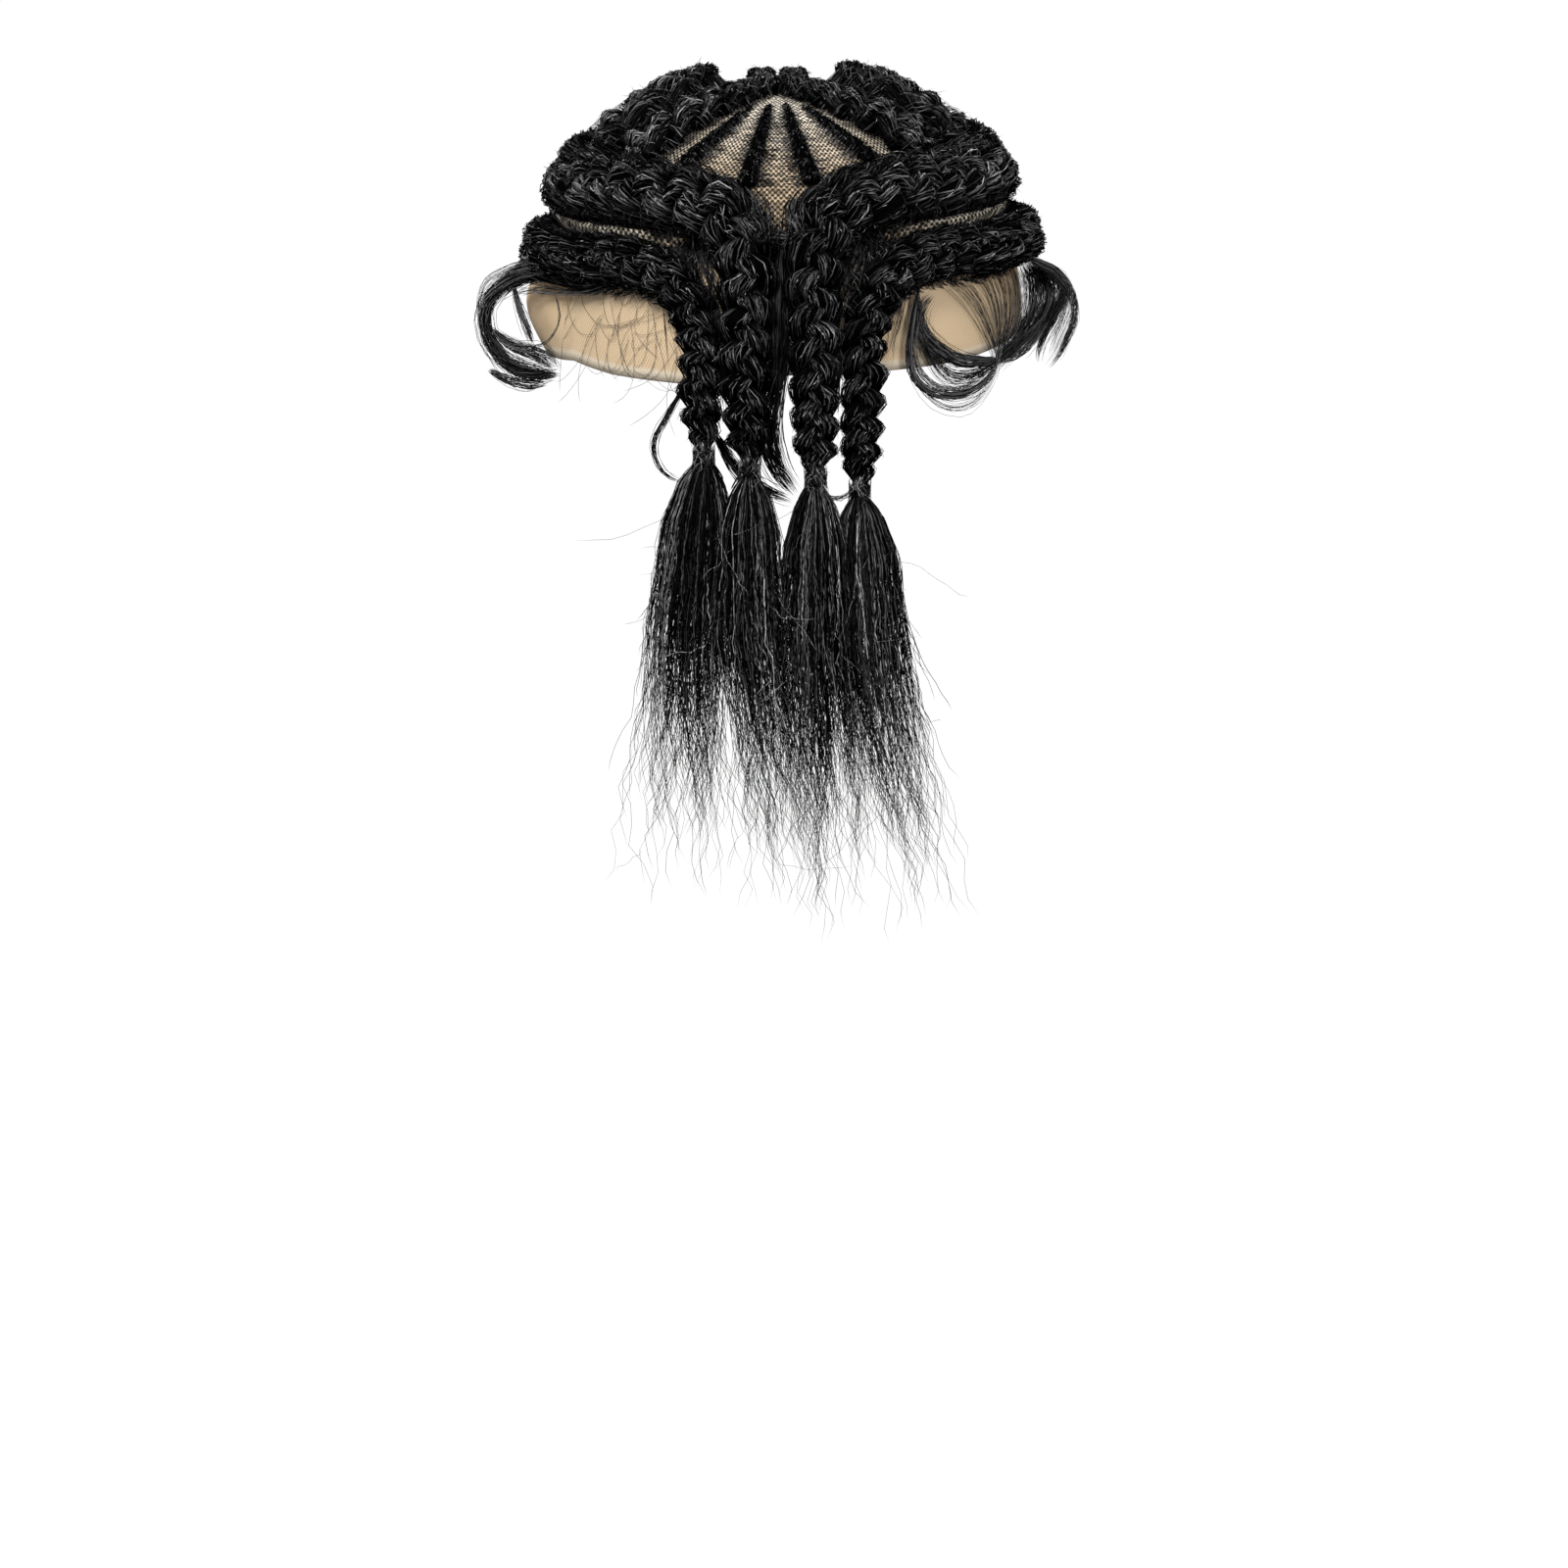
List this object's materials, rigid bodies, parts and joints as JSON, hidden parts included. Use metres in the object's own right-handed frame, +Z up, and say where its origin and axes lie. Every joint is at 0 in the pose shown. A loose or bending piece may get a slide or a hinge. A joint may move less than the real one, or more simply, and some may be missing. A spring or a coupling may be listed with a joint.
{
  "type": "cornrow toupee",
  "caption": "Lace cap hairpiece with raised cornrows that run round the head and hang at the back as tied plaits with loose tails.",
  "frame": {"origin": "the point inside the crown of the cap that sits on the top of the head", "axes": "+Z up, +Y the way the wearer faces, +X to the wearer's right"},
  "size_m": [0.1924, 0.1977, 0.2558],
  "materials": {
    "lace": "fine beige net, knitted at the crown",
    "hair": "black hair with a soft sheen",
    "thread": "wound black thread"
  },
  "bodies": {
    "root": {"lace_cap": "lace", "centre_row_left": "hair", "centre_row_right": "hair", "top_row_left": "hair", "top_row_right": "hair", "inner_plait_left": "hair", "inner_plait_right": "hair", "outer_plait_left": "hair", "outer_plait_right": "hair", "fan_row_inner_left": "hair", "fan_row_inner_right": "hair", "fan_row_outer_left": "hair", "fan_row_outer_right": "hair", "inner_tie_left": "thread", "inner_tie_right": "thread", "outer_tie_left": "thread", "outer_tie_right": "thread", "inner_tail_left": "hair", "inner_tail_right": "hair", "outer_tail_left": "hair", "outer_tail_right": "hair", "edge_lock_left": "hair", "edge_lock_right": "hair", "edge_wisp_right": "hair"}
  },
  "joints": []
}
